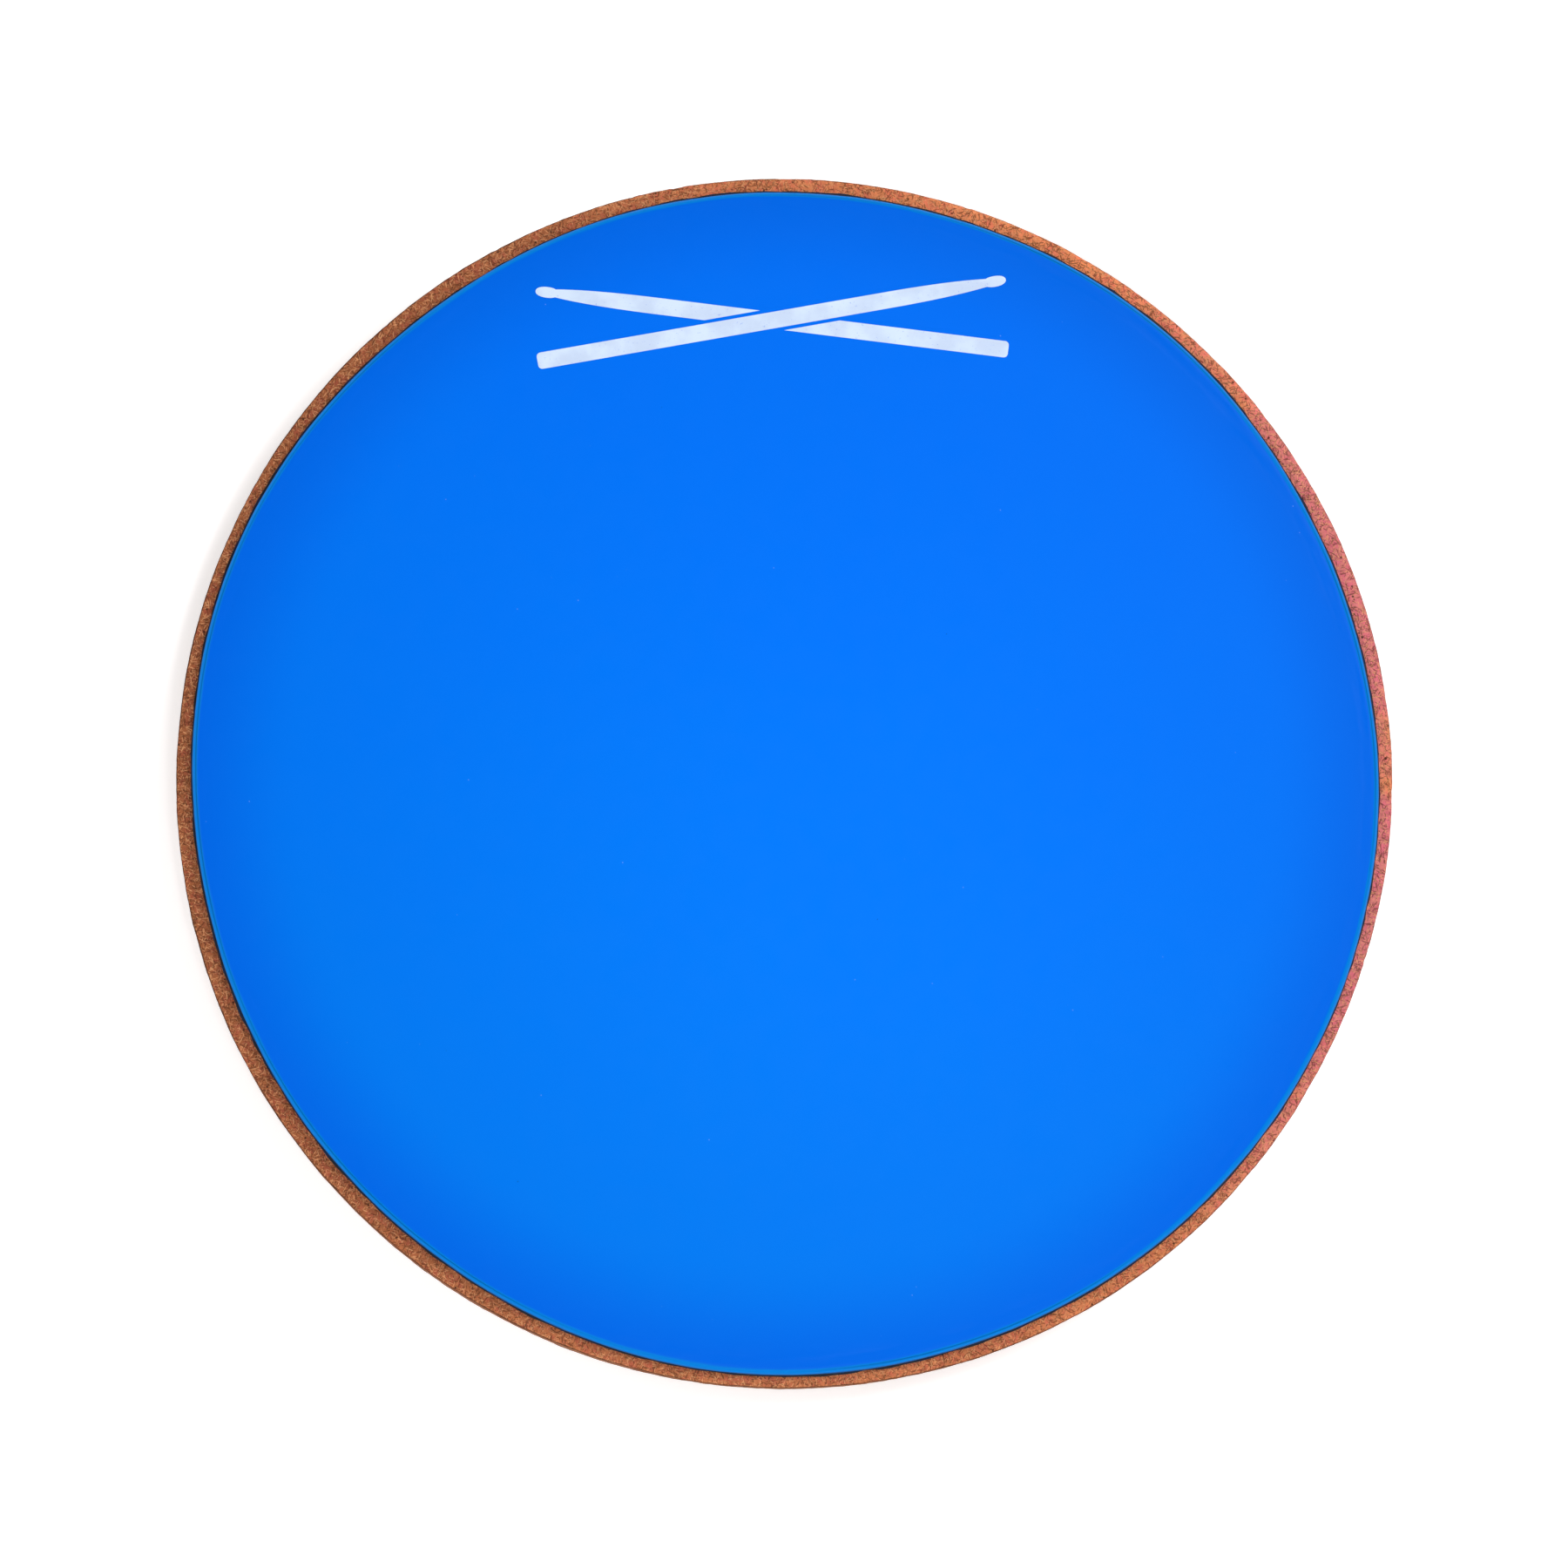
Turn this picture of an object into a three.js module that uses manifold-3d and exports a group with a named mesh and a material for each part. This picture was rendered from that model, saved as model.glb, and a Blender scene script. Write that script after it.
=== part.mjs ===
// Round practice pad for drummers: a silicone playing surface bonded to a fibreboard
// disc, with a non-slip rubber sheet bonded to the underside. Millimetres, +Z up.
// The origin is the centre of the underside. +Z leaves the playing surface, and +Y
// points at the printed mark.

import * as THREE from 'three';
import { mergeVertices } from 'three/addons/utils/BufferGeometryUtils.js';
import Module from 'manifold-3d';

const wasm = await Module();
wasm.setup();

// Driving dimensions. The layers' thicknesses are whole sixteenths of a millimetre,
// which binary numbers hold exactly, so that the bonded faces meet exactly.
// COVER means both sheets, the surface above the board and the backing below it.
const BOARD_DIAMETER = 305;
const BOARD_THICKNESS = 12;
const BOARD_EASING = 0.5;
const BARE_RIM = 4;
const SURFACE_THICKNESS = 4;
const SURFACE_SHOULDER = 2;
const BACKING_THICKNESS = 3;
const BACKING_EASING = 0.25;
const BOND_THICKNESS = 0.25;
// The adhesive shows as a thin line, squeezed out this far past the covers' edges.
const BOND_SQUEEZE = 0.375;
const PRINT_THICKNESS = 0.0625;
const PRINT_DISTANCE = 116;

// One drumstick of the printed mark, drawn lying along X, and its slope on the pad.
const STICK_LENGTH = 120;
const STICK_DIAMETER = 4.2;
const STICK_SLOPE = THREE.MathUtils.degToRad(8.6);
const BUTT_ROUNDING = 1.2;
const TAPER_LENGTH = 26;
const NECK_DIAMETER = 2;
const BEAD_LENGTH = 5;
const BEAD_DIAMETER = 3.2;
// How far before the neck the taper stays full, and how soon after it the bead is.
const TAPER_FULLNESS = 9;
const BEAD_FULLNESS = 1;

// Steps round the discs, round the surface's shoulder and along the stick's curves.
const ROUND_STEPS = 144;
const SHOULDER_STEPS = 5;
const STICK_CURVE_STEPS = 8;

const BOARD_RADIUS = BOARD_DIAMETER / 2;
const COVER_RADIUS = BOARD_RADIUS - BARE_RIM;
const BOND_RADIUS = COVER_RADIUS + BOND_SQUEEZE;

// The height of each layer's underside, from the bottom up.
const BACKING_BOND_LEVEL = BACKING_THICKNESS;
const BOARD_LEVEL = BACKING_BOND_LEVEL + BOND_THICKNESS;
const SURFACE_BOND_LEVEL = BOARD_LEVEL + BOARD_THICKNESS;
const SURFACE_LEVEL = SURFACE_BOND_LEVEL + BOND_THICKNESS;
const PRINT_LEVEL = SURFACE_LEVEL + SURFACE_THICKNESS;

const silicone = new THREE.MeshStandardMaterial({
  color: 0x0076f5, roughness: 0.38, metalness: 0,
});
const fibreboard = new THREE.MeshStandardMaterial({
  color: 0xa9683c, roughness: 0.85, metalness: 0,
});
const rubber = new THREE.MeshStandardMaterial({
  color: 0x1c1c1e, roughness: 0.8, metalness: 0,
});
const adhesive = new THREE.MeshStandardMaterial({
  color: 0x1b222b, roughness: 0.6, metalness: 0,
});
const ink = new THREE.MeshStandardMaterial({
  color: 0xdde6fa, roughness: 0.5, metalness: 0,
});

// A solid of revolution about +Z. The profile's points are [radius, height], from the
// axis at the bottom to the axis at the top.
function turned(profile) {
  const points = profile.map(([radius, height]) => new THREE.Vector2(radius, height));
  return new THREE.LatheGeometry(points, ROUND_STEPS).rotateX(Math.PI / 2);
}

// A flat disc whose two arrises are cut off at 45 degrees by the given easing.
function easedDisc(radius, thickness, easing) {
  return turned([
    [0, 0],
    [radius - easing, 0],
    [radius, easing],
    [radius, thickness - easing],
    [radius - easing, thickness],
    [0, thickness],
  ]);
}

function plainDisc(radius, thickness) {
  return turned([[0, 0], [radius, 0], [radius, thickness], [0, thickness]]);
}

// The playing surface: a square lower edge and a rounded shoulder at the top.
function surfaceDisc() {
  const profile = [[0, 0], [COVER_RADIUS, 0]];
  for (let step = 0; step <= SHOULDER_STEPS; step += 1) {
    const turn = (step / SHOULDER_STEPS) * Math.PI / 2;
    profile.push([
      COVER_RADIUS - SURFACE_SHOULDER * (1 - Math.cos(turn)),
      SURFACE_THICKNESS - SURFACE_SHOULDER * (1 - Math.sin(turn)),
    ]);
  }
  profile.push([0, SURFACE_THICKNESS]);
  return turned(profile);
}

// The outline of a drumstick: a rounded butt, a straight shaft, a long taper to the
// neck and an egg-shaped bead at the tip.
function stickOutline() {
  const butt = -STICK_LENGTH / 2;
  const tip = STICK_LENGTH / 2;
  const half = STICK_DIAMETER / 2;
  const neck = tip - BEAD_LENGTH;
  const taper = neck - TAPER_LENGTH;
  const bead = BEAD_DIAMETER / 2;
  const outline = new THREE.Shape();
  outline.moveTo(butt + BUTT_ROUNDING, -half);
  outline.lineTo(taper, -half);
  outline.quadraticCurveTo(neck - TAPER_FULLNESS, -half, neck, -NECK_DIAMETER / 2);
  outline.bezierCurveTo(neck + BEAD_FULLNESS, -bead, tip, -bead, tip, 0);
  outline.bezierCurveTo(tip, bead, neck + BEAD_FULLNESS, bead, neck, NECK_DIAMETER / 2);
  outline.quadraticCurveTo(neck - TAPER_FULLNESS, half, taper, half);
  outline.lineTo(butt + BUTT_ROUNDING, half);
  outline.quadraticCurveTo(butt, half, butt, half - BUTT_ROUNDING);
  outline.lineTo(butt, -half + BUTT_ROUNDING);
  outline.quadraticCurveTo(butt, -half, butt + BUTT_ROUNDING, -half);
  return outline;
}

function asSolid(geometry) {
  geometry.deleteAttribute('normal');
  geometry.deleteAttribute('uv');
  const merged = mergeVertices(geometry);
  return new wasm.Manifold(new wasm.Mesh({
    numProp: 3,
    vertProperties: merged.attributes.position.array,
    triVerts: new Uint32Array(merged.index.array),
  }));
}

function asGeometry(solid) {
  const { vertProperties, triVerts } = solid.getMesh();
  const geometry = new THREE.BufferGeometry();
  geometry.setAttribute('position', new THREE.BufferAttribute(vertProperties, 3));
  geometry.setIndex(new THREE.BufferAttribute(triVerts, 1));
  geometry.computeVertexNormals();
  return geometry;
}

// The mark: two drumsticks crossed at a low angle, joined into one film of ink.
function crossedSticks() {
  const film = new THREE.ExtrudeGeometry(stickOutline(), {
    depth: PRINT_THICKNESS,
    bevelEnabled: false,
    curveSegments: STICK_CURVE_STEPS,
  });
  const rising = asSolid(film.clone().rotateZ(STICK_SLOPE));
  const falling = asSolid(film.clone().rotateZ(Math.PI - STICK_SLOPE));
  return asGeometry(rising.add(falling));
}

const pad = new THREE.Group();

function addLayer(name, geometry, material, level) {
  const layer = new THREE.Mesh(geometry, material);
  layer.name = name;
  layer.position.z = level;
  pad.add(layer);
  return layer;
}

addLayer(
  'non_slip_backing',
  easedDisc(COVER_RADIUS, BACKING_THICKNESS, BACKING_EASING),
  rubber,
  0,
);
addLayer(
  'backing_bond',
  plainDisc(BOND_RADIUS, BOND_THICKNESS),
  adhesive,
  BACKING_BOND_LEVEL,
);
addLayer(
  'base_board',
  easedDisc(BOARD_RADIUS, BOARD_THICKNESS, BOARD_EASING),
  fibreboard,
  BOARD_LEVEL,
);
addLayer(
  'surface_bond',
  plainDisc(BOND_RADIUS, BOND_THICKNESS),
  adhesive,
  SURFACE_BOND_LEVEL,
);
addLayer('playing_surface', surfaceDisc(), silicone, SURFACE_LEVEL);
const print = addLayer('surface_print', crossedSticks(), ink, PRINT_LEVEL);
print.position.y = PRINT_DISTANCE;

export default pad;
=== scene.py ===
"""A round practice pad: blue silicone on a bare fibreboard disc, with a rubber backing.

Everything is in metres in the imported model's frame: the pad lies on the floor at z = 0,
its playing surface faces +Z and its printed mark is towards +Y.
"""

import math

import bpy
import numpy as np
from mathutils import Matrix, Vector


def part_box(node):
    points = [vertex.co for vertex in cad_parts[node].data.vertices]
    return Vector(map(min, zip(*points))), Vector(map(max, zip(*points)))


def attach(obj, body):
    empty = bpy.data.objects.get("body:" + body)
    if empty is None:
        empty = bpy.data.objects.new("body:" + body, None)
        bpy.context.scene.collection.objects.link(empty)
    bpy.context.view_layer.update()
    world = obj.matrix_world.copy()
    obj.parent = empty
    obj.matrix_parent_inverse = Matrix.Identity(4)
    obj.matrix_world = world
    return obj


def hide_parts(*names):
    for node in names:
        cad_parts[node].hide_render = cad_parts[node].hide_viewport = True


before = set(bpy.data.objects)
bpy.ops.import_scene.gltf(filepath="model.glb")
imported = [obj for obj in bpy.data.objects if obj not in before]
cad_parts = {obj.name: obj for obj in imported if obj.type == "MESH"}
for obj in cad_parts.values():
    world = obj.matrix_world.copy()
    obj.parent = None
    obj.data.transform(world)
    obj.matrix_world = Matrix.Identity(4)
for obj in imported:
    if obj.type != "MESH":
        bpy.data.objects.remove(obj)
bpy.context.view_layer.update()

MM = 0.001

# The layers' places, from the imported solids.
BOARD_LOW, BOARD_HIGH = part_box("base_board")
SURFACE_LOW, SURFACE_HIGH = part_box("playing_surface")
SURFACE_BOND_LOW, SURFACE_BOND_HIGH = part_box("surface_bond")
BACKING_LOW, BACKING_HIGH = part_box("non_slip_backing")
BACKING_BOND_LOW, BACKING_BOND_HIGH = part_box("backing_bond")
PRINT_LOW, PRINT_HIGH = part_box("surface_print")

# A hand-trimmed edge wanders. Each wave is (lumps round the disc, height in mm, the
# direction of one of its crests in degrees from +X). A wave of one lump is a sheet laid
# off centre, and one of none is a sheet cut over size.
SURFACE_WAVES = (
    (0, 0.1, 0), (1, 0.3, 300), (2, 0.3, 125), (3, 0.15, 40), (4, 0.35, 75), (6, 0.15, 40),
    (7, 0.2, 0),
)
# The adhesive was spread a little further towards one side than the silicone covers.
SURFACE_BOND_WAVES = SURFACE_WAVES + ((1, 0.2, 65),)
BACKING_WAVES = ((1, 0.20, 200), (2, 0.25, 110), (3, 0.20, 35), (5, 0.18, 80), (7, 0.12, 10))
BOARD_WAVES = ((4, 0.1, 15), (5, 0.05, 5), (6, 0.05, 5), (7, 0.05, 50))

# Steps round a sheet's edge, the board's edge and the square grid inside a face, and over
# a rounded arris and the silicone's wider shoulder.
SHEET_STEPS = 960
BOARD_STEPS = 1440
FACE_STEPS = 240
ARRIS_STEPS = 5
SHOULDER_STEPS = 20

# In mm: the radius of the silicone's shoulder, the moulded line in it, and how far the
# adhesive is squeezed out past a sheet.
SHOULDER_RADIUS = 2
CREASE_INSET = 0.95
CREASE_WIDTH = 0.14
CREASE_DEPTH = 0.05
SQUEEZE = 0.2

# One drumstick of the printed mark, in mm, as drawn lying along X.
STICK_LENGTH = 120
STICK_DIAMETER = 4.2
STICK_SLOPE = 8.6
BUTT_ROUNDING = 1.2
TAPER_LENGTH = 26
TAPER_FULLNESS = 9
NECK_DIAMETER = 2
BEAD_LENGTH = 5
BEAD_DIAMETER = 3.2
BEAD_FULLNESS = 1
# The gap beside the front stick, where the one behind is cut away.
STICK_GAP = 0.9

# Which way painted light drifts the silicone's and the board's colours, and where the board
# takes a painted pink tint of reflected blue light: the product of one of these with a place
# in mm runs from -1 at one side of the pad to 1 at the other.
SILICONE_LIGHT_LEAN = (0.0023, 0.0062, 0)
BOARD_LIGHT_LEAN = (0.0065, 0.0011, 0)
BOUNCE_TINT_LEAN = (0.0066, 0.0002, 0)
# The board is also paler in two opposite quarters and darker in the other two: this times
# X and Y in mm is added to its drift.
BOARD_TWIST = 0.000024
# The board's cut edge is darkened with painted contact shade from here down, in mm above the floor.
CONTACT_SHADE_HEIGHT = 7.5

# The directions that fibres lie in, in radians.
FIBRE_TURNS = (0.15, 1.05, 1.75, 2.6)

# Linear colours.
# The silicone's blue at the two ends of its drift, which is partly painted light.
SILICONE_DEEP = (0.0, 0.133, 0.765, 1)
SILICONE_BRIGHT = (0.0, 0.157, 0.705, 1)
# Painted shade towards the silicone's rim.
SILICONE_RIM_SHADE = (0.0, 0.113, 0.660, 1)
# A paler, greener painted highlight where the silicone's shoulder turns down.
SILICONE_SHOULDER_HIGHLIGHT = (0.0, 0.180, 0.61, 1)
# Painted shade on the silicone's wall.
SILICONE_WALL_SHADE = (0.0, 0.08, 0.28, 1)
SILICONE_DUST = (0.25, 0.45, 0.85, 1)
# Dark flecks; the same colour paints shade into the moulded line.
SILICONE_FLECK_AND_SHADE = (0.0, 0.03, 0.12, 1)
# The board's tone at its two ends; its drift across the pad is partly painted light.
BOARD_DARK = (0.34, 0.107, 0.042, 1)
BOARD_LIGHT = (0.96, 0.305, 0.125, 1)
# A painted pink tint of blue light reflected onto the board.
BOARD_BOUNCE_TINT = (0.76, 0.205, 0.235, 1)
BOARD_ROSY = (1.0, 0.78, 1.0, 1)
BOARD_WALL = (0.15, 0.056, 0.025, 1)
BOARD_CORE = (0.27, 0.115, 0.052, 1)
BOARD_SHADE = (0.17, 0.052, 0.020, 1)
BOARD_FIBRE_DARK = (0.09, 0.028, 0.012, 1)
BOARD_FIBRE_PALE = (0.82, 0.38, 0.17, 1)
# Bark specks; the same colour paints shade low on the cut edge and along the upper arris.
BOARD_BARK_AND_SHADE = (0.035, 0.014, 0.008, 1)
ADHESIVE_DARK = (0.003, 0.006, 0.012, 1)
ADHESIVE_BLUE = (0.002, 0.016, 0.06, 1)
RUBBER_BLACK = (0.010, 0.010, 0.011, 1)
RUBBER_DUSTY = (0.035, 0.034, 0.033, 1)
INK_SHADED = (0.50, 0.60, 0.78, 1)
INK_PALE = (0.58, 0.69, 0.85, 1)

# The camera looks almost straight down, from a little in front of the middle and to its
# left. Angles are in degrees, its distance in metres, and its lens and its aim in X and Y
# in mm.
# PAD_TURN is how far the pad's +Y is turned anticlockwise from upright in the picture.
CAMERA_AZIMUTH = -21.0
CAMERA_ELEVATION = 83.55
CAMERA_DISTANCE = 1.8
CAMERA_LENS = 164.8
CAMERA_AIM = (-0.5, -1.49)
PAD_TURN = 1.8

# The floor is a square of this width, in metres.
FLOOR_WIDTH = 30


# ---------------------------------------------------------------- mesh building

def smooth_noise(seed, rows, steps, across, along):
    """Noise of unit spread on a grid that wraps round. across and along are the sizes
    of its lumps, in rows and in steps."""
    white = np.random.default_rng(seed).standard_normal((rows, steps))
    down = np.fft.fftfreq(rows)[:, None] * across
    round_about = np.fft.fftfreq(steps)[None, :] * along
    keep = np.exp(-2 * (down**2 + round_about**2))
    field = np.fft.ifft2(np.fft.fft2(white) * keep).real
    return (field - field.mean()) / field.std()


def angles_of(steps):
    return np.arange(steps) * 2 * math.pi / steps


def wander(waves, steps):
    """How far a trimmed edge stands out at each step, in metres."""
    angles = angles_of(steps)
    return sum(
        height * MM * np.cos(lumps * (angles - math.radians(crest)))
        for lumps, height, crest in waves
    )


def arris(radius, steps):
    """A quarter circle as (insets, rises), from beside the wall up and in."""
    turn = np.linspace(0, math.pi / 2, steps + 1)
    return radius * (1 - np.cos(turn)), radius * np.sin(turn)


def section(low, high, lower, upper, run_in, spacing, upper_steps=ARRIS_STEPS):
    """A disc's section near its edge: points of (inset from the edge, height), from the
    underside, out round the edge and in again along the top. lower and upper are the
    radii of the two rounded arrises."""
    flat = max(2, round(run_in / spacing))
    wall = max(2, round((high.z - low.z) / spacing))
    lower_inset, lower_rise = arris(lower, ARRIS_STEPS)
    upper_inset, upper_rise = arris(upper, upper_steps)
    parts = [
        (np.linspace(run_in, lower, flat, endpoint=False), low.z),
        (lower_inset[::-1], low.z + lower - lower_rise[::-1]),
        (0, np.linspace(low.z + lower, high.z - upper, wall)[1:-1]),
        (upper_inset, high.z - upper + upper_rise),
        (np.linspace(upper, run_in, flat)[1:], high.z),
    ]
    pairs = [np.broadcast_arrays(inset, height) for inset, height in parts]
    return np.concatenate([np.stack(pair, axis=1) for pair in pairs])


def edge_noise(seed, outline, steps, across, along):
    """Noise of unit spread over a disc's edge, in lumps of across by along mm."""
    row_gap = np.linalg.norm(np.diff(outline, axis=0), axis=1).mean()
    step_gap = 2 * math.pi * BOARD_HIGH.x / steps
    rows = len(outline)
    return smooth_noise(seed, rows, steps, across * MM / row_gap, along * MM / step_gap)


def near(gap, width):
    """1 where a gap is none, fading out over a width in mm."""
    return np.exp(-((gap / (width * MM)) ** 2))[:, None]


def edge_fade(outline):
    """1 over a disc's edge, and 0 at the loops that its flat faces start from."""
    inset = outline[:, 0]
    return np.clip((inset.max() - inset) / MM, 0, 1)[:, None]


def rings(outline, edge, relief):
    """Loops of points round Z: edge is the radius at each step, and relief, (rows,
    steps), stands out along the section's normal."""
    inset, height = outline.T
    along = np.gradient(outline, axis=0)
    along /= np.linalg.norm(along, axis=1, keepdims=True)
    outward, upward = along[:, 1:], along[:, :1]
    relief = relief * edge_fade(outline)
    radius = edge - inset[:, None] + relief * outward
    level = height[:, None] + relief * upward
    angles = angles_of(len(edge))
    return np.stack([radius * np.cos(angles), radius * np.sin(angles), level], axis=2)


def grid_on_disc(cells):
    """A square grid bent to fill the unit disc, with its rim at equal angles."""
    line = np.linspace(-1, 1, cells + 1)
    x, y = np.meshgrid(line, line, indexing="ij")
    wide = np.abs(x) >= np.abs(y)
    reach = np.where(wide, x, y)
    safe = np.where(reach == 0, 1, reach)
    lean = math.pi / 4 * np.where(wide, y, x) / safe
    bent_x = reach * np.where(wide, np.cos(lean), np.sin(lean))
    bent_y = reach * np.where(wide, np.sin(lean), np.cos(lean))
    return bent_x, bent_y


def grid_rim(cells):
    """The rim of that grid as (column, row), anticlockwise from +X."""
    right = [(cells, k) for k in range(cells)]
    top = [(cells - k, cells) for k in range(cells)]
    left = [(0, cells - k) for k in range(cells)]
    bottom = [(k, 0) for k in range(cells)]
    rim = right + top + left + bottom
    return rim[cells // 2:] + rim[:cells // 2]


def halve_loop(points, faces, loop):
    """Adds a loop just inside this one with half as many steps, and returns it."""
    inward = 1 - 4 * math.pi / len(loop)
    inner = []
    for index in loop[::2]:
        x, y, z = points[index]
        inner.append(len(points))
        points.append((x * inward, y * inward, z))
    for k, index in enumerate(inner):
        start, middle, end = loop[2 * k], loop[2 * k + 1], loop[(2 * k + 2) % len(loop)]
        faces.append((start, middle, index))
        faces.append((middle, end, inner[(k + 1) % len(inner)], index))
    return inner


def fill_loop(points, faces, loop):
    """Fills a level, round loop with a square grid."""
    cells = len(loop) // 4
    radius = np.mean([math.hypot(*points[index][:2]) for index in loop])
    height = points[loop[0]][2]
    bent_x, bent_y = grid_on_disc(cells)
    number = dict(zip(grid_rim(cells), loop))
    for column in range(1, cells):
        for row in range(1, cells):
            number[column, row] = len(points)
            x, y = bent_x[column, row] * radius, bent_y[column, row] * radius
            points.append((x, y, height))
    for column in range(cells):
        for row in range(cells):
            corners = [(0, 0), (1, 0), (1, 1), (0, 1)]
            faces.append(tuple(number[column + i, row + j] for i, j in corners))


def disc_mesh(name, loops, crease_shade=None):
    """A closed disc from loops, (rows, steps, 3), whose first and last are level. The last
    argument, (rows, steps), a mask of painted shade, is kept on the mesh for its material to read."""
    rows, steps, _ = loops.shape
    points = [tuple(point) for point in loops.reshape(-1, 3)]
    faces = []
    for start in range(0, (rows - 1) * steps, steps):
        for step in range(steps):
            here, after = start + step, start + (step + 1) % steps
            faces.append((here, after, after + steps, here + steps))
    for first, facing in ((0, -1), ((rows - 1) * steps, 1)):
        face = []
        loop = list(range(first, first + steps))
        while len(loop) > FACE_STEPS:
            loop = halve_loop(points, face, loop)
        fill_loop(points, face, loop)
        faces += [corners[::facing] for corners in face]
    mesh = bpy.data.meshes.new(name)
    mesh.from_pydata(points, [], faces)
    mesh.shade_smooth()
    if crease_shade is not None:
        values = np.zeros(len(points))
        values[:rows * steps] = crease_shade.ravel()
        mesh.attributes.new("crease_shade", "FLOAT", "POINT").data.foreach_set("value", values)
    return mesh


def show(name, mesh, material, replaced):
    """Puts a piece in the scene in place of a CAD node."""
    piece = bpy.data.objects.new(name, mesh)
    mesh.materials.append(material)
    bpy.context.scene.collection.objects.link(piece)
    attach(piece, "root")
    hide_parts(replaced)


# ---------------------------------------------------------------- shader nodes

def node(tree, kind, inputs=None, **settings):
    """Adds a shader node. An input that is a socket is linked, any other is set."""
    made = tree.nodes.new(kind)
    for key, value in settings.items():
        setattr(made, key, value)
    for key, value in (inputs or {}).items():
        if isinstance(value, bpy.types.NodeSocket):
            tree.links.new(value, made.inputs[key])
        else:
            made.inputs[key].default_value = value
    return made


def new_material(name, **inputs):
    """A material, its node tree and its shader, with the given inputs of the shader set."""
    material = bpy.data.materials.new(name)
    material.use_nodes = True
    shader = material.node_tree.nodes["Principled BSDF"]
    for key, value in inputs.items():
        shader.inputs[key.replace("_", " ")].default_value = value
    return material, material.node_tree, shader


def connect(tree, shader, **sockets):
    """Links sockets to the shader's inputs of those names."""
    for key, socket in sockets.items():
        tree.links.new(socket, shader.inputs[key.replace("_", " ")])


def place_in_mm(tree):
    """The point on the object, in mm."""
    point = node(tree, "ShaderNodeTexCoord").outputs["Object"]
    scaled = node(tree, "ShaderNodeVectorMath", {0: point, "Scale": 1000}, operation="SCALE")
    return scaled.outputs[0]


def facing_up(tree):
    """The vertical part of the surface's normal: 1 on a level top, 0 on a wall."""
    normal = node(tree, "ShaderNodeNewGeometry").outputs["Normal"]
    return node(tree, "ShaderNodeSeparateXYZ", {0: normal}).outputs["Z"]


def maths(tree, operation, first, second=0.0, third=0.0):
    """The result of a Math node."""
    inputs = {0: first, 1: second, 2: third}
    return node(tree, "ShaderNodeMath", inputs, operation=operation).outputs[0]


def fade(tree, value, start, end, low=0.0, high=1.0):
    """low until value reaches start, then smoothly to high at end."""
    inputs = {"Value": value, "From Min": start, "From Max": end, "To Min": low, "To Max": high}
    made = node(tree, "ShaderNodeMapRange", inputs, interpolation_type="SMOOTHSTEP")
    return made.outputs["Result"]


def blend(tree, share, under, over, mode="MIX"):
    """under where share is 0, and over laid on it by the mode where share is 1."""
    inputs = {0: share, 6: under, 7: over}
    made = node(tree, "ShaderNodeMix", inputs, data_type="RGBA", blend_type=mode)
    return made.outputs[2]


def lean(tree, point, direction):
    """A place's distance along a direction."""
    inputs = {0: point, 1: direction}
    return node(tree, "ShaderNodeVectorMath", inputs, operation="DOT_PRODUCT").outputs["Value"]


def distance(tree, point):
    """A place's distance from the middle of the pad."""
    return node(tree, "ShaderNodeVectorMath", {0: point}, operation="LENGTH").outputs["Value"]


def noise(tree, point, lump, detail=2.0):
    """Noise from 0 to 1 with lumps of about the given size in mm."""
    inputs = {"Vector": point, "Scale": 1 / lump, "Detail": detail}
    return node(tree, "ShaderNodeTexNoise", inputs).outputs["Fac"]


def drawn_out(tree, point, turn, size, offset=(0, 0, 0)):
    """Coordinates turned about Z by an angle, then divided by a size in each direction."""
    inputs = {"Vector": point, "Location": offset, "Rotation": (0, 0, turn), "Scale": size}
    return node(tree, "ShaderNodeMapping", inputs, vector_type="TEXTURE").outputs[0]


def specks(tree, point, gap, radius):
    """Round specks, up to one in each cell of about gap mm, with soft edges."""
    inputs = {"Vector": point, "Scale": 1 / gap, "Randomness": 1.0}
    away = node(tree, "ShaderNodeTexVoronoi", inputs).outputs["Distance"]
    return fade(tree, away, radius / gap, 0.4 * radius / gap)


def bump(tree, height, depth):
    """A normal from a height of 0 to 1 that stands for a depth in mm."""
    inputs = {"Height": height, "Distance": depth * MM, "Strength": 1.0}
    return node(tree, "ShaderNodeBump", inputs).outputs["Normal"]


# ---------------------------------------------------------------- materials

def silicone_face(tree, point):
    """The level face's blue: painted light drifts it across, and painted shade deepens it at the
    rim.
    """
    cloud = maths(tree, "MULTIPLY", noise(tree, point, 45, 3), 0.5)
    # The drift across the face is painted light; the cloud is the silicone's own.
    light_and_tone_drift = maths(tree, "ADD", lean(tree, point, SILICONE_LIGHT_LEAN), cloud)
    face = blend(tree, fade(tree, light_and_tone_drift, 1.4, -0.9), SILICONE_DEEP, SILICONE_BRIGHT)
    # Painted shade, deepening towards the rim.
    rim_shade = fade(tree, distance(tree, point), 122, 152)
    return blend(tree, rim_shade, face, SILICONE_RIM_SHADE)


def silicone_specks(tree, point, colour):
    """Adds a few pale specks of dust and dark flecks, each only where noise lets it be."""
    rare = fade(tree, noise(tree, point, 9, 0), 0.58, 0.66)
    dust = maths(tree, "MULTIPLY", specks(tree, point, 5, 0.22), rare)
    colour = blend(tree, maths(tree, "MULTIPLY", dust, 0.35), colour, SILICONE_DUST)
    scarce = fade(tree, noise(tree, point, 14, 0), 0.36, 0.30)
    fleck = maths(tree, "MULTIPLY", specks(tree, point, 7, 0.22), scarce)
    return blend(tree, maths(tree, "MULTIPLY", fleck, 0.6), colour, SILICONE_FLECK_AND_SHADE)


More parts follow.
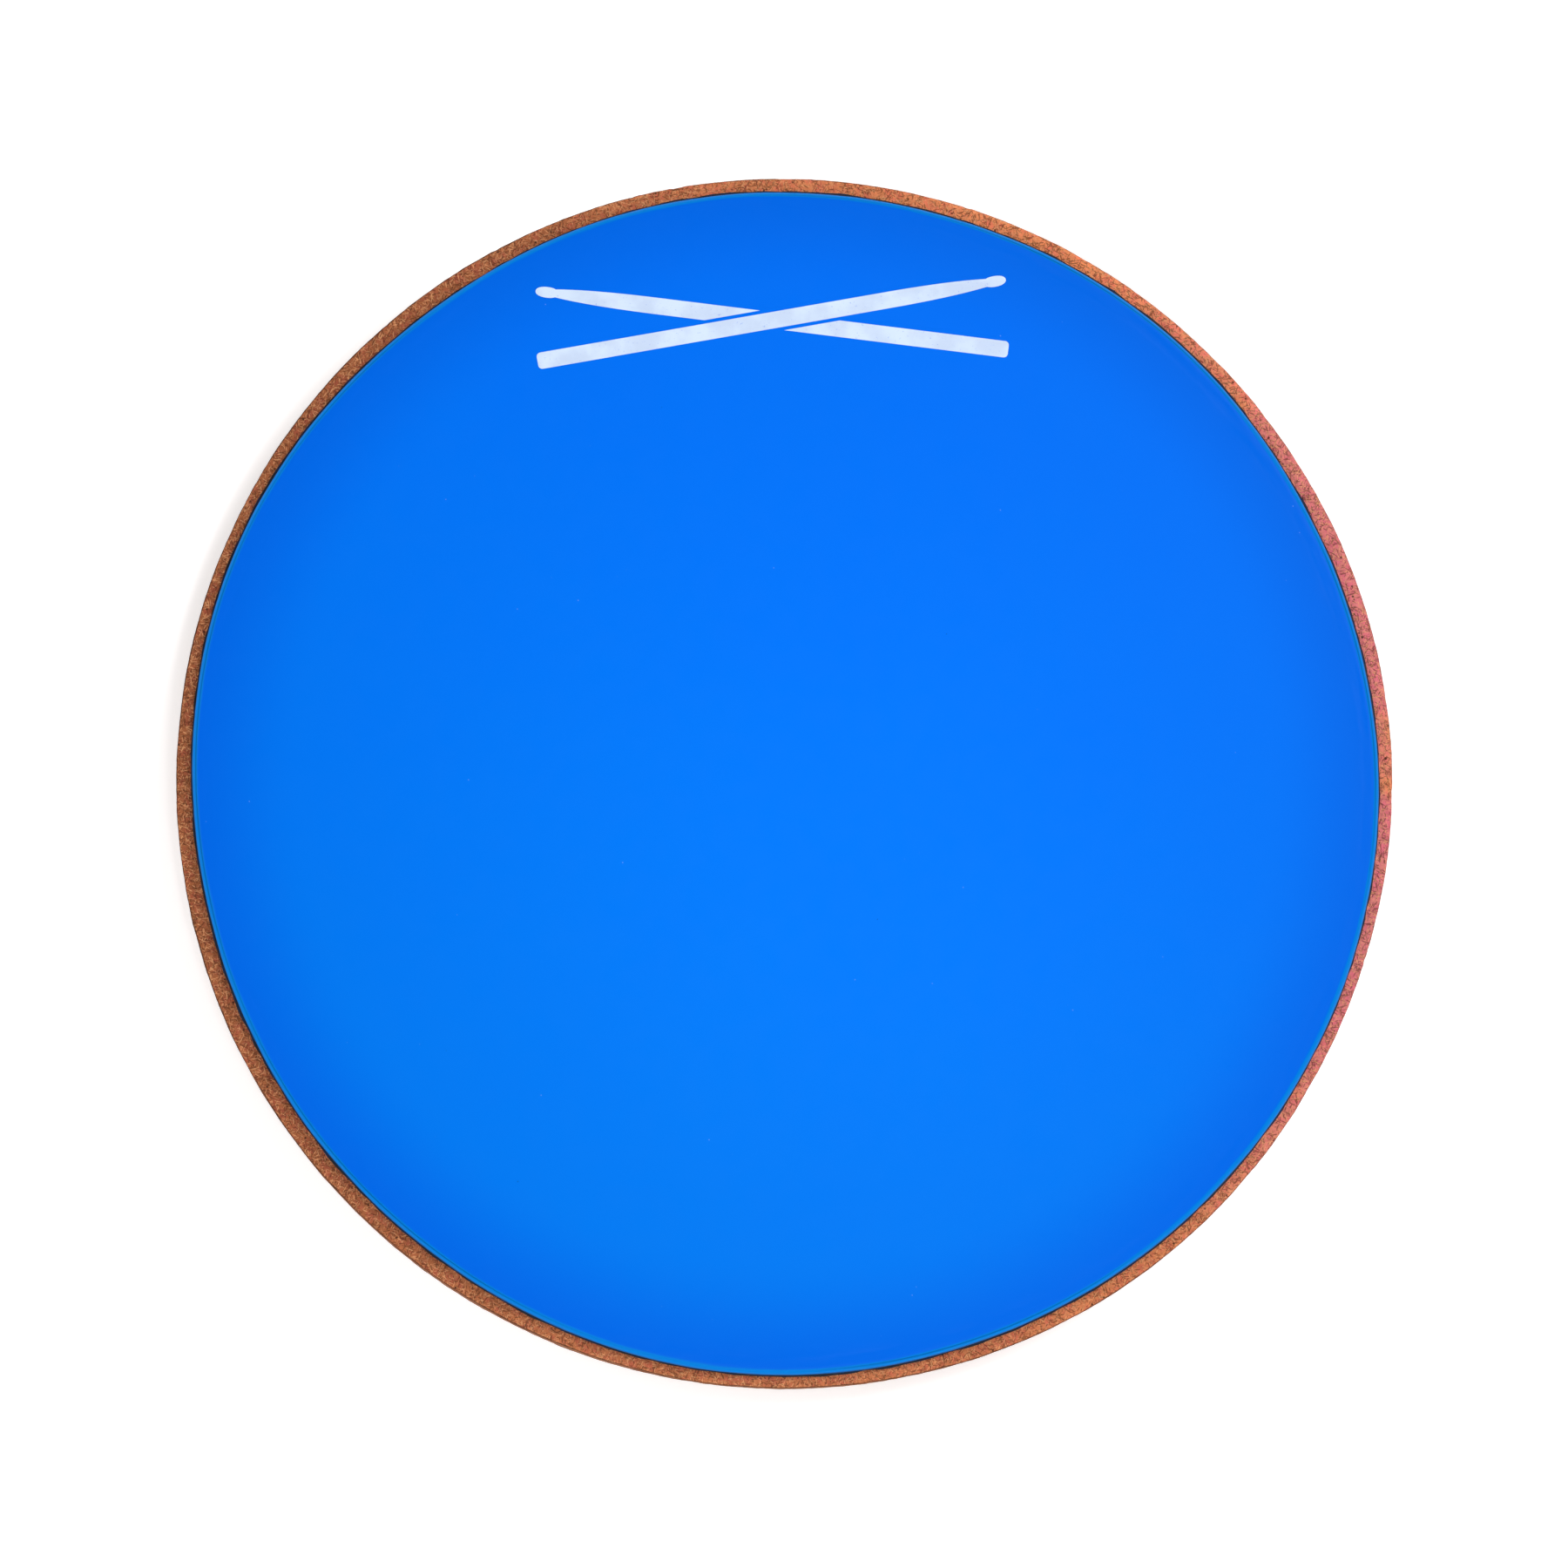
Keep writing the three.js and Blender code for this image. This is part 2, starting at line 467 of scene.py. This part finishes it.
def silicone_material():
    """Smooth matt silicone: a paler, greener painted highlight on its shoulder, painted shade on
    its wall.
    """
    material, tree, shader = new_material("silicone", Specular_IOR_Level=0.03)
    point, level = place_in_mm(tree), facing_up(tree)
    face = silicone_face(tree, point)
    # A painted highlight where the shoulder turns down.
    colour = blend(tree, fade(tree, level, 0.998, 0.88), face, SILICONE_SHOULDER_HIGHLIGHT)
    # Painted shade on the wall.
    colour = blend(tree, fade(tree, level, 0.55, 0.12), colour, SILICONE_WALL_SHADE)
    # Painted shade in the moulded line.
    crease_shade = node(tree, "ShaderNodeAttribute", attribute_name="crease_shade").outputs["Fac"]
    colour = blend(tree, maths(tree, "MULTIPLY", crease_shade, 0.6), colour, SILICONE_FLECK_AND_SHADE)
    colour = silicone_specks(tree, point, colour)
    grain = noise(tree, point, 0.35, 3)
    swell = noise(tree, point, 6, 2)
    roughness = fade(tree, maths(tree, "ADD", grain, swell), 0.6, 1.4, 0.30, 0.40)
    relief = maths(tree, "ADD", maths(tree, "MULTIPLY", grain, 0.25), swell)
    connect(tree, shader, Base_Color=colour, Roughness=roughness)
    connect(tree, shader, Normal=bump(tree, relief, 0.025))
    return material


def fibres(tree, point, lengthwise, wide, offset, start, end):
    """Short fibres lying every way in the board's plane: 0 between them, 1 on them."""
    found = None
    for turn in FIBRE_TURNS:
        stretched = drawn_out(tree, point, turn, (lengthwise, wide, wide), (offset, turn, 0))
        layer = fade(tree, noise(tree, stretched, 1, 1), start, end)
        found = layer if found is None else maths(tree, "MAXIMUM", found, layer)
    return found


def board_tone(tree, point, patch):
    """How pale the board is, from about -0.6 to 1.7: painted light drifts it across the disc,
    and it goes up and down in patches."""
    place = node(tree, "ShaderNodeSeparateXYZ", {0: point}).outputs
    twist = maths(tree, "MULTIPLY", maths(tree, "MULTIPLY", place["X"], place["Y"]), BOARD_TWIST)
    # The drift along the lean is painted light.
    light_and_tone_drift = maths(tree, "ADD", lean(tree, point, BOARD_LIGHT_LEAN), twist)
    return maths(tree, "MULTIPLY_ADD", patch, 0.9, light_and_tone_drift)


def board_ground(tree, point, face, tone, patch):
    """The board's colour under its fibres: a painted pink tint of reflected blue light on one side
    of its face, and on its cut edge darker, with a paler core between the two dense skins,
    and painted contact shade low down."""
    colour = blend(tree, fade(tree, tone, -0.6, 1.7), BOARD_DARK, BOARD_LIGHT)
    # A painted pink tint of reflected blue light on one side of the face.
    bounce_tint = fade(tree, lean(tree, point, BOUNCE_TINT_LEAN), 0.55, 0.95, 0.0, 0.85)
    bounce_tint = maths(tree, "MULTIPLY", bounce_tint, fade(tree, patch, 0.34, 0.52))
    colour = blend(tree, bounce_tint, colour, BOARD_BOUNCE_TINT)
    height = node(tree, "ShaderNodeSeparateXYZ", {0: point}).outputs["Z"]
    middle = (BOARD_LOW.z + BOARD_HIGH.z) / 2 / MM
    from_middle = maths(tree, "ABSOLUTE", maths(tree, "SUBTRACT", height, middle))
    cut = blend(tree, fade(tree, from_middle, 2.0, 5.6), BOARD_CORE, BOARD_WALL)
    # Painted contact shade, darkest at the foot of the cut edge.
    contact_shade = fade(tree, height, CONTACT_SHADE_HEIGHT, BOARD_LOW.z / MM, 0.0, 0.8)
    cut = blend(tree, contact_shade, cut, BOARD_BARK_AND_SHADE)
    return blend(tree, fade(tree, face, 1.0, 0.0, 0.0, 0.85), colour, cut)


def board_fibres(tree, point, face):
    """Dark and pale fibres: lying every way on the faces, and in layers on the cut edge."""
    streak = noise(tree, drawn_out(tree, point, 0, (2.2, 2.2, 0.22)), 1, 3)
    dark = fibres(tree, point, 2.0, 0.36, 0, 0.60, 0.68)
    dark = blend(tree, face, fade(tree, streak, 0.56, 0.72), dark)
    pale = fibres(tree, point, 1.8, 0.34, 40, 0.62, 0.70)
    pale = blend(tree, face, fade(tree, streak, 0.44, 0.30), pale)
    return dark, pale


def fibreboard_material():
    """Raw fibreboard, mottled and flecked with bark, with painted shade along its upper arris."""
    material, tree, shader = new_material("fibreboard", Specular_IOR_Level=0.1)
    point, level = place_in_mm(tree), facing_up(tree)
    face = fade(tree, maths(tree, "ABSOLUTE", level), 0.3, 0.8)
    patch = noise(tree, point, 22, 3)
    tone = board_tone(tree, point, patch)
    colour = board_ground(tree, point, face, tone, patch)
    rosy = fade(tree, noise(tree, point, 1.8, 2), 0.45, 0.65)
    colour = blend(tree, maths(tree, "MULTIPLY", rosy, face), colour, BOARD_ROSY, "MULTIPLY")
    mottle = noise(tree, point, 1.6, 4)
    colour = blend(tree, fade(tree, mottle, 0.25, 0.75, 0.30, 0.0), colour, BOARD_SHADE)
    dark, pale = board_fibres(tree, point, face)
    colour = blend(tree, maths(tree, "MULTIPLY", dark, 0.7), colour, BOARD_FIBRE_DARK)
    colour = blend(tree, maths(tree, "MULTIPLY", pale, 0.6), colour, BOARD_FIBRE_PALE)
    scattered = fade(tree, mottle, 0.46, 0.54)
    bark = maths(tree, "MULTIPLY", specks(tree, point, 2.2, 0.42), scattered)
    colour = blend(tree, maths(tree, "MULTIPLY", bark, 0.85), colour, BOARD_BARK_AND_SHADE)
    # Painted shade along the upper arris, strongest where the board's tone is lowest.
    off_face, off_wall = fade(tree, level, 0.985, 0.85), fade(tree, level, 0.1, 0.3)
    upper_arris = maths(tree, "MULTIPLY", off_face, off_wall)
    arris_shade = fade(tree, tone, 1.1, 0.4, 0.25, 0.75)
    colour = blend(tree, maths(tree, "MULTIPLY", upper_arris, arris_shade), colour, BOARD_BARK_AND_SHADE)
    grain = noise(tree, point, 0.5, 3)
    relief = maths(tree, "SUBTRACT", maths(tree, "ADD", grain, pale), dark)
    roughness = fade(tree, mottle, 0.3, 0.7, 0.78, 0.95)
    connect(tree, shader, Base_Color=colour, Roughness=roughness)
    connect(tree, shader, Normal=bump(tree, relief, 0.05))
    return material


def adhesive_material():
    """Dark contact adhesive, set in a thin uneven line."""
    material, tree, shader = new_material("adhesive", Specular_IOR_Level=0.3)
    point = place_in_mm(tree)
    lumps = noise(tree, point, 2.5, 3)
    colour = blend(tree, fade(tree, lumps, 0.4, 0.7), ADHESIVE_DARK, ADHESIVE_BLUE)
    connect(tree, shader, Base_Color=colour, Roughness=fade(tree, lumps, 0.3, 0.7, 0.45, 0.7))
    connect(tree, shader, Normal=bump(tree, lumps, 0.08))
    return material


def rubber_material():
    """Black non-slip rubber with a fine pebbled skin, dusty in its hollows."""
    material, tree, shader = new_material("backing_rubber", Specular_IOR_Level=0.35)
    point = place_in_mm(tree)
    cells = node(tree, "ShaderNodeTexVoronoi", {"Vector": point, "Scale": 1 / 0.9})
    pebble = cells.outputs["Distance"]
    dusty = noise(tree, point, 12, 4)
    grey = maths(tree, "MULTIPLY", fade(tree, dusty, 0.45, 0.75), fade(tree, pebble, 0.3, 0.7))
    colour = blend(tree, grey, RUBBER_BLACK, RUBBER_DUSTY)
    fine = noise(tree, point, 0.25, 2)
    relief = maths(tree, "SUBTRACT", maths(tree, "MULTIPLY", fine, 0.3), pebble)
    connect(tree, shader, Base_Color=colour, Roughness=fade(tree, dusty, 0.3, 0.7, 0.62, 0.85))
    connect(tree, shader, Normal=bump(tree, relief, 0.1))
    return material


def ink_material():
    """Pale screen ink: faintly clouded, with pinholes that let the silicone show."""
    material, tree, shader = new_material("print_ink", Specular_IOR_Level=0.3)
    point = place_in_mm(tree)
    cloud = noise(tree, point, 7, 3)
    colour = blend(tree, fade(tree, cloud, 0.35, 0.65), INK_SHADED, INK_PALE)
    thin = fade(tree, noise(tree, point, 0.45, 2), 0.66, 0.76)
    colour = blend(tree, maths(tree, "MULTIPLY", thin, 0.5), colour, SILICONE_BRIGHT)
    weave = noise(tree, point, 0.3, 2)
    connect(tree, shader, Base_Color=colour, Roughness=fade(tree, weave, 0.3, 0.7, 0.5, 0.65))
    connect(tree, shader, Normal=bump(tree, weave, 0.012))
    return material


# ---------------------------------------------------------------- the pad's layers

def playing_surface():
    """A silicone sheet, moulded with a rounded shoulder and a faint line inside it."""
    shoulder = SHOULDER_RADIUS * MM
    outline = section(
        SURFACE_LOW, SURFACE_HIGH, lower=0.2 * MM, upper=shoulder, run_in=5 * MM,
        spacing=0.3 * MM, upper_steps=SHOULDER_STEPS,
    )
    wave = 0.03 * edge_noise(11, outline, SHEET_STEPS, across=3, along=14)
    dimple = 0.008 * edge_noise(12, outline, SHEET_STEPS, across=1.2, along=2.5)
    above = outline[:, 1:] > SURFACE_LOW.z + shoulder
    presence = np.clip(0.6 + 0.5 * smooth_noise(13, 1, SHEET_STEPS, across=1, along=60), 0, 1)
    crease = near(outline[:, 0] - CREASE_INSET * MM, CREASE_WIDTH) * above * presence
    relief = (wave + dimple - CREASE_DEPTH * crease) * MM
    edge = SURFACE_HIGH.x + wander(SURFACE_WAVES, SHEET_STEPS)
    # The moulded line's mask also paints shade into it, in the material.
    mesh = disc_mesh("silicone_surface", rings(outline, edge, relief), crease)
    show("silicone_surface", mesh, silicone_material(), "playing_surface")


def board_relief(outline):
    """Felted faces, a layered cut wall, small dents, and nicks along the two arrises. The
    dents and nicks are where noise of their own passes a level that it rarely does."""
    inset, height = outline.T
    felt = 0.022 * edge_noise(21, outline, BOARD_STEPS, across=1.0, along=1.3)
    felt += 0.03 * edge_noise(22, outline, BOARD_STEPS, across=4, along=6)
    layers = 0.035 * edge_noise(23, outline, BOARD_STEPS, across=1.2, along=14)
    layers *= near(inset, 0.8)
    dented = edge_noise(24, outline, BOARD_STEPS, across=1.6, along=2.6)
    dents = 0.12 * np.clip(dented - 1.9, 0, 1.2)
    to_arris = np.minimum(
        np.hypot(inset, height - BOARD_LOW.z), np.hypot(inset, BOARD_HIGH.z - height)
    )
    chipped = edge_noise(25, outline, BOARD_STEPS, across=6, along=2.2)
    nicks = 0.2 * near(to_arris, 0.7) * np.clip(chipped - 1.5, 0, 1.3)
    return (felt + layers - dents - nicks) * MM


def base_board():
    """A disc cut from raw fibreboard, bare at its rim and its wall."""
    outline = section(
        BOARD_LOW, BOARD_HIGH, lower=0.4 * MM, upper=0.4 * MM, run_in=5 * MM, spacing=0.5 * MM
    )
    edge = BOARD_HIGH.x + wander(BOARD_WAVES, BOARD_STEPS)
    mesh = disc_mesh("fibreboard_disc", rings(outline, edge, board_relief(outline)))
    show("fibreboard_disc", mesh, fibreboard_material(), "base_board")


def non_slip_backing():
    """A sheet of black rubber, its wall scalloped a little by the knife that cut it."""
    outline = section(
        BACKING_LOW, BACKING_HIGH, lower=0.25 * MM, upper=0.15 * MM, run_in=4 * MM,
        spacing=0.3 * MM,
    )
    scallops = np.abs(edge_noise(31, outline, SHEET_STEPS, across=1.5, along=8))
    relief = -0.05 * scallops * MM
    edge = BACKING_HIGH.x + wander(BACKING_WAVES, SHEET_STEPS)
    mesh = disc_mesh("rubber_backing", rings(outline, edge, relief))
    show("rubber_backing", mesh, rubber_material(), "non_slip_backing")


def bond(name, replaced, low, high, waves, seed, material):
    """A film of adhesive, squeezed out unevenly past the sheet that it holds."""
    outline = section(low, high, lower=0.1 * MM, upper=0.1 * MM, run_in=3 * MM, spacing=0.5 * MM)
    uneven = 0.09 * smooth_noise(seed, 1, SHEET_STEPS, across=1, along=5)[0]
    uneven += 0.06 * smooth_noise(seed + 1, 1, SHEET_STEPS, across=1, along=40)[0]
    squeezed = (SQUEEZE + np.clip(uneven, -0.25, 0.3)) * MM
    edge = high.x + wander(waves, SHEET_STEPS) + squeezed
    smooth = np.zeros((len(outline), SHEET_STEPS))
    mesh = disc_mesh(name, rings(outline, edge, smooth))
    show(name, mesh, material, replaced)


# ---------------------------------------------------------------- the printed mark

def bezier(*controls, steps=16):
    """Points along a Bezier curve of any degree, without its first point."""
    share = np.linspace(0, 1, steps + 1)[1:, None]
    layer = [np.array(control, float) for control in controls]
    while len(layer) > 1:
        layer = [a * (1 - share) + b * share for a, b in zip(layer, layer[1:])]
    return layer[0]


def stick_outline():
    """A drumstick's outline, anticlockwise, lying along X with its bead at +X."""
    butt, tip = -STICK_LENGTH / 2, STICK_LENGTH / 2
    half, bead = STICK_DIAMETER / 2, BEAD_DIAMETER / 2
    neck = tip - BEAD_LENGTH
    taper = neck - TAPER_LENGTH
    waist = (neck, NECK_DIAMETER / 2)
    upper = np.concatenate([
        bezier((tip, 0), (tip, bead), (neck + BEAD_FULLNESS, bead), waist),
        bezier(waist, (neck - TAPER_FULLNESS, half), (taper, half)),
        [(butt + BUTT_ROUNDING, half)],
        bezier((butt + BUTT_ROUNDING, half), (butt, half), (butt, half - BUTT_ROUNDING)),
    ])
    lower = upper[::-1] * (1, -1)
    return np.concatenate([upper, lower, [(tip, 0)]])


def clipped(outline, normal, offset):
    """The part of an outline where a point's distance along normal is over offset."""
    depth = outline @ normal - offset
    kept = []
    for k in range(len(outline)):
        here, after = outline[k - 1], outline[k]
        if (depth[k - 1] > 0) != (depth[k] > 0):
            share = depth[k - 1] / (depth[k - 1] - depth[k])
            kept.append(here + (after - here) * share)
        if depth[k] > 0:
            kept.append(after)
    return np.array(kept)


def crossed_sticks():
    """Outlines of two crossed drumsticks, the one behind cut clear of the other."""
    slope = math.radians(STICK_SLOPE)
    cos, sin = math.cos(slope), math.sin(slope)
    stick = stick_outline()
    front = stick @ np.array([[cos, sin], [-sin, cos]])
    behind = front * (-1, 1)
    across = np.array([-sin, cos])
    clear = STICK_DIAMETER / 2 + STICK_GAP
    return [front, clipped(behind[::-1], across, clear), clipped(behind[::-1], -across, clear)]


def surface_print():
    centre = (PRINT_LOW + PRINT_HIGH) / 2
    points, faces = [], []
    for outline in crossed_sticks():
        first, count = len(points), len(outline)
        for height in (PRINT_LOW.z, PRINT_HIGH.z):
            for x, y in outline:
                points.append((centre.x + x * MM, centre.y + y * MM, height))
        faces.append(tuple(range(first + count - 1, first - 1, -1)))
        faces.append(tuple(range(first + count, first + 2 * count)))
        for k in range(count):
            here, after = first + k, first + (k + 1) % count
            faces.append((here, after, after + count, here + count))
    mesh = bpy.data.meshes.new("printed_mark")
    mesh.from_pydata(points, [], faces)
    show("printed_mark", mesh, ink_material(), "surface_print")


# ---------------------------------------------------------------- the studio

def floor():
    """A white table. It glows a little, so that it takes only a soft shadow, and more in the
    distance, so that it meets the white room without an edge."""
    mesh = bpy.data.meshes.new("floor")
    far = FLOOR_WIDTH / 2
    corners = [(-far, -far, 0), (far, -far, 0), (far, far, 0), (-far, far, 0)]
    mesh.from_pydata(corners, [], [(0, 1, 2, 3)])
    material, tree, shader = new_material("floor", Roughness=0.9, Specular_IOR_Level=0)
    shader.inputs["Base Color"].default_value = (0.9, 0.9, 0.9, 1)
    shader.inputs["Emission Color"].default_value = (1, 1, 1, 1)
    glow = fade(tree, distance(tree, place_in_mm(tree)), 300, 3000, 0.36, 0.65)
    connect(tree, shader, Emission_Strength=glow)
    mesh.materials.append(material)
    ground = bpy.data.objects.new("floor", mesh)
    bpy.context.scene.collection.objects.link(ground)


def aimed(name, light, place, aim):
    """Puts a light at a place, in metres, and points it at its aim."""
    lamp = bpy.data.objects.new(name, light)
    lamp.location = place
    lamp.rotation_euler = (Vector(aim) - Vector(place)).to_track_quat("-Z", "Y").to_euler()
    bpy.context.scene.collection.objects.link(lamp)


def softbox(name, place, size, power):
    """A round soft light, of a size in metres and a power in watts, on the pad's middle."""
    light = bpy.data.lights.new(name, "AREA")
    light.shape = "DISK"
    light.size = size
    light.energy = power
    aimed(name, light, place, (0, 0, 0))


def pool(name, place, aim, cone, power):
    """A soft spot, whose light fades out from its aim to the edge of a cone in degrees."""
    light = bpy.data.lights.new(name, "SPOT")
    light.spot_size = math.radians(cone)
    light.spot_blend = 1
    light.shadow_soft_size = 0.12
    light.energy = power
    aimed(name, light, place, aim)


def sky():
    """A white room, bright round the sides and dim overhead."""
    world = bpy.data.worlds.new("studio")
    world.use_nodes = True
    tree = world.node_tree
    direction = node(tree, "ShaderNodeTexCoord").outputs["Generated"]
    rise = node(tree, "ShaderNodeSeparateXYZ", {0: direction}).outputs["Z"]
    strength = fade(tree, rise, 0.0, 1.0, 1.1, 0.2)
    background = tree.nodes["Background"]
    background.inputs["Color"].default_value = (1, 1, 1, 1)
    tree.links.new(strength, background.inputs["Strength"])
    bpy.context.scene.world = world


def studio():
    sky()
    softbox("key", (0.72, 0.46, 1.48), 0.7, 12.4)
    softbox("fill_left", (-1.1, 0.1, 1.2), 0.9, 5.5)
    softbox("fill_front", (-0.1, -1.2, 1.2), 0.9, 6)
    pool("pool", (0.12, -0.3, 0.95), (0.016, -0.026, SURFACE_HIGH.z), 22, 12.5)
    bpy.context.scene.view_settings.view_transform = "Standard"


def camera():
    """Aims just below the middle of the board's upper face. The near half looks larger, so
    that is what brings the disc's outline to the middle of the picture."""
    azimuth, elevation = math.radians(CAMERA_AZIMUTH), math.radians(CAMERA_ELEVATION)
    back = Vector((
        math.sin(azimuth) * math.cos(elevation),
        -math.cos(azimuth) * math.cos(elevation),
        math.sin(elevation),
    ))
    upright = Vector((0, 1, 0)) - back * back.y
    upright.normalize()
    up = Matrix.Rotation(-math.radians(PAD_TURN), 3, back) @ upright
    right = up.cross(back)
    aim = Vector((CAMERA_AIM[0] * MM, CAMERA_AIM[1] * MM, BOARD_HIGH.z))
    lens = bpy.data.cameras.new("camera")
    lens.lens = CAMERA_LENS
    lens.sensor_width = 36
    eye = bpy.data.objects.new("camera", lens)
    eye.matrix_world = (
        Matrix.Translation(aim + back * CAMERA_DISTANCE)
        @ Matrix((right, up, back)).transposed().to_4x4()
    )
    bpy.context.scene.collection.objects.link(eye)
    bpy.context.scene.camera = eye


camera()
studio()
floor()
adhesive = adhesive_material()
non_slip_backing()
bond(
    "backing_glue", "backing_bond", BACKING_BOND_LOW, BACKING_BOND_HIGH, BACKING_WAVES, 41, adhesive
)
base_board()
bond(
    "surface_glue", "surface_bond", SURFACE_BOND_LOW, SURFACE_BOND_HIGH, SURFACE_BOND_WAVES, 51,
    adhesive,
)
playing_surface()
surface_print()
